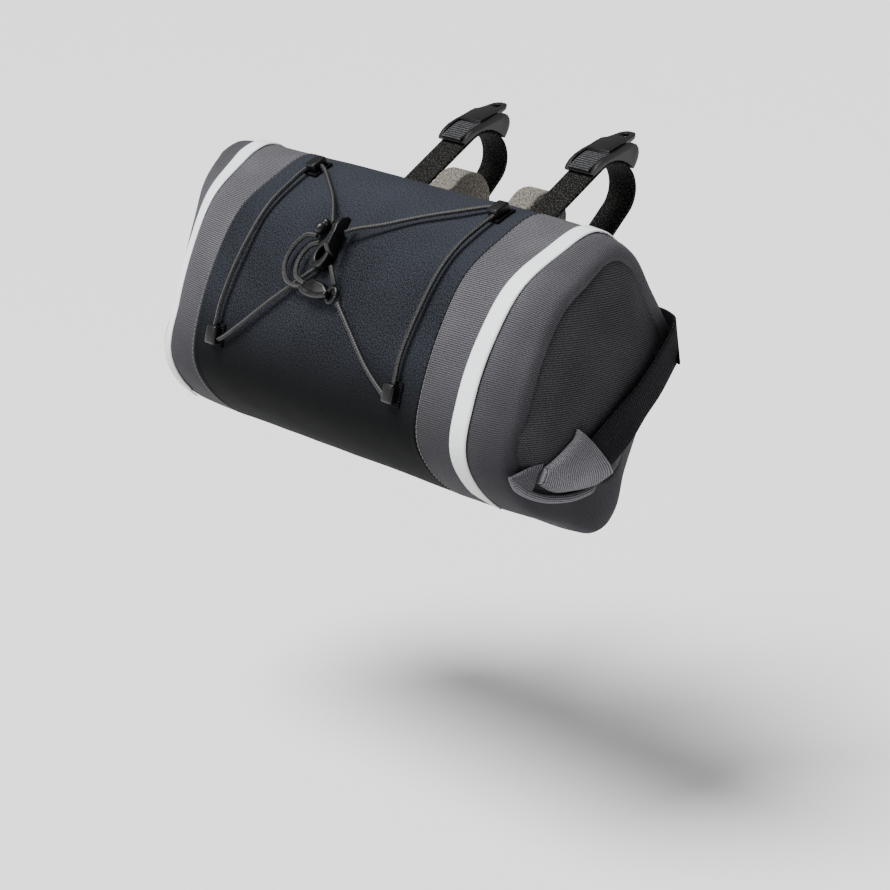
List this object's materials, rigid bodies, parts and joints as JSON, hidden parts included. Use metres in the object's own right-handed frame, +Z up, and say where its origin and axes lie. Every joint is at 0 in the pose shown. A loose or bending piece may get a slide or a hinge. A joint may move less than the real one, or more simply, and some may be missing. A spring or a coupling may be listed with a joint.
{
  "type": "bicycle handlebar bag",
  "caption": "Soft tube-shaped bag that straps to a bicycle handlebar, with folded ends, reflective strips and an elastic cord drawn across its front.",
  "frame": {"origin": "on the handlebar's axis, halfway along the bag", "axes": "+X along the handlebar towards the end with the slacker cord loop, -Y towards the bag's front, +Z up"},
  "size_m": [0.3468, 0.2029, 0.1855],
  "materials": {
    "navy_fabric": "coated weave, matt",
    "grey_fabric": "fine ribbed weave, matt",
    "reflective_tape": "silver-white film, satin",
    "black_webbing": "ribbed webbing, matt",
    "black_plastic": "moulded, semi-gloss",
    "strap_rubber": "dimpled, matt",
    "elastic_cord": "braided, flecked",
    "spacer_foam": "foam, matt"
  },
  "bodies": {
    "root": {"main_panel": "navy_fabric", "end_sleeve_left": "grey_fabric", "end_sleeve_right": "grey_fabric", "end_panel_left": "grey_fabric", "end_panel_right": "grey_fabric", "closure_flap_left": "grey_fabric", "closure_flap_right": "grey_fabric", "reflective_strip_left": "reflective_tape", "reflective_strip_right": "reflective_tape", "closure_webbing_left": "black_webbing", "closure_webbing_right": "black_webbing", "strap_tail_left": "black_webbing", "strap_tail_right": "black_webbing", "guide_patch_top_left": "black_webbing", "guide_patch_top_right": "black_webbing", "guide_patch_bottom_left": "black_webbing", "guide_patch_bottom_right": "black_webbing", "cord_guide_top_left": "black_plastic", "cord_guide_top_right": "black_plastic", "cord_guide_bottom_left": "black_plastic", "cord_guide_bottom_right": "black_plastic", "upper_hook": "black_plastic", "hook_grip": "black_plastic", "cord_lock": "black_plastic", "lower_hook": "black_plastic", "buckle_frame_left": "black_plastic", "buckle_frame_right": "black_plastic", "buckle_lever_left": "black_plastic", "buckle_lever_right": "black_plastic", "bar_strap_left": "strap_rubber", "bar_strap_right": "strap_rubber", "elastic_cord_left": "elastic_cord", "elastic_cord_right": "elastic_cord", "elastic_cord_hooked": "elastic_cord", "elastic_cord_tail_outer": "elastic_cord", "elastic_cord_tail_inner": "elastic_cord", "foam_spacer_left": "spacer_foam", "foam_spacer_right": "spacer_foam"}
  },
  "joints": []
}
